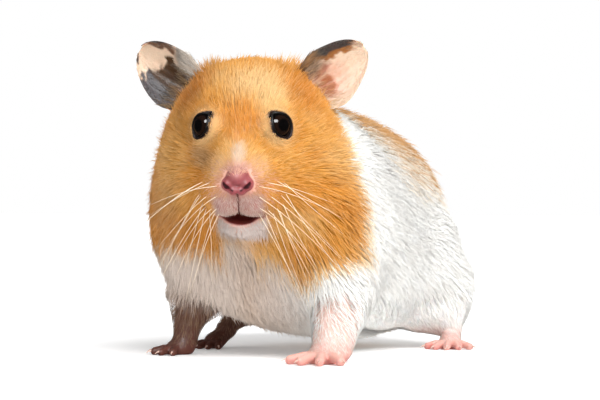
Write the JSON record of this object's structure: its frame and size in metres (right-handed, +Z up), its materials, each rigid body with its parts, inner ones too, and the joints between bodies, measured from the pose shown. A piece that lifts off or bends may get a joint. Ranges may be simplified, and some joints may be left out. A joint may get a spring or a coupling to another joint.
{
  "type": "syrian hamster",
  "caption": "Life-size still model of a golden and white Syrian hamster in mid-step, standing on its paws with its head raised and turned to its left.",
  "frame": {"origin": "on the floor, at the middle of the animal's bounding box", "axes": "+Z up, +Y from the head towards the tail, +X towards the animal's left side"},
  "size_m": [0.0667, 0.1075, 0.0765],
  "materials": {
    "coat_golden": "soft dense golden-orange fur, paler on the forehead",
    "coat_white": "soft dense white fur with a thin golden streak along the back",
    "chin": "short whitish fur",
    "bare_skin": "bare pink skin, thinly haired",
    "nose_skin": "moist pink skin",
    "ear_skin": "thin pinkish skin with grey and brown patches",
    "eye": "glossy black, wet"
  },
  "bodies": {
    "root": {"head": "coat_golden", "neck": "coat_golden", "trunk": "coat_white", "foreleg_left": "coat_white", "foreleg_right": "coat_white", "hindleg_left": "coat_white", "hindleg_right": "coat_white", "lower_jaw": "chin", "forepaw_left": "bare_skin", "forepaw_right": "bare_skin", "hindpaw_left": "bare_skin", "hindpaw_right": "bare_skin", "tail": "bare_skin", "nose": "nose_skin", "ear_left": "ear_skin", "ear_right": "ear_skin", "eye_left": "eye", "eye_right": "eye"}
  },
  "joints": []
}
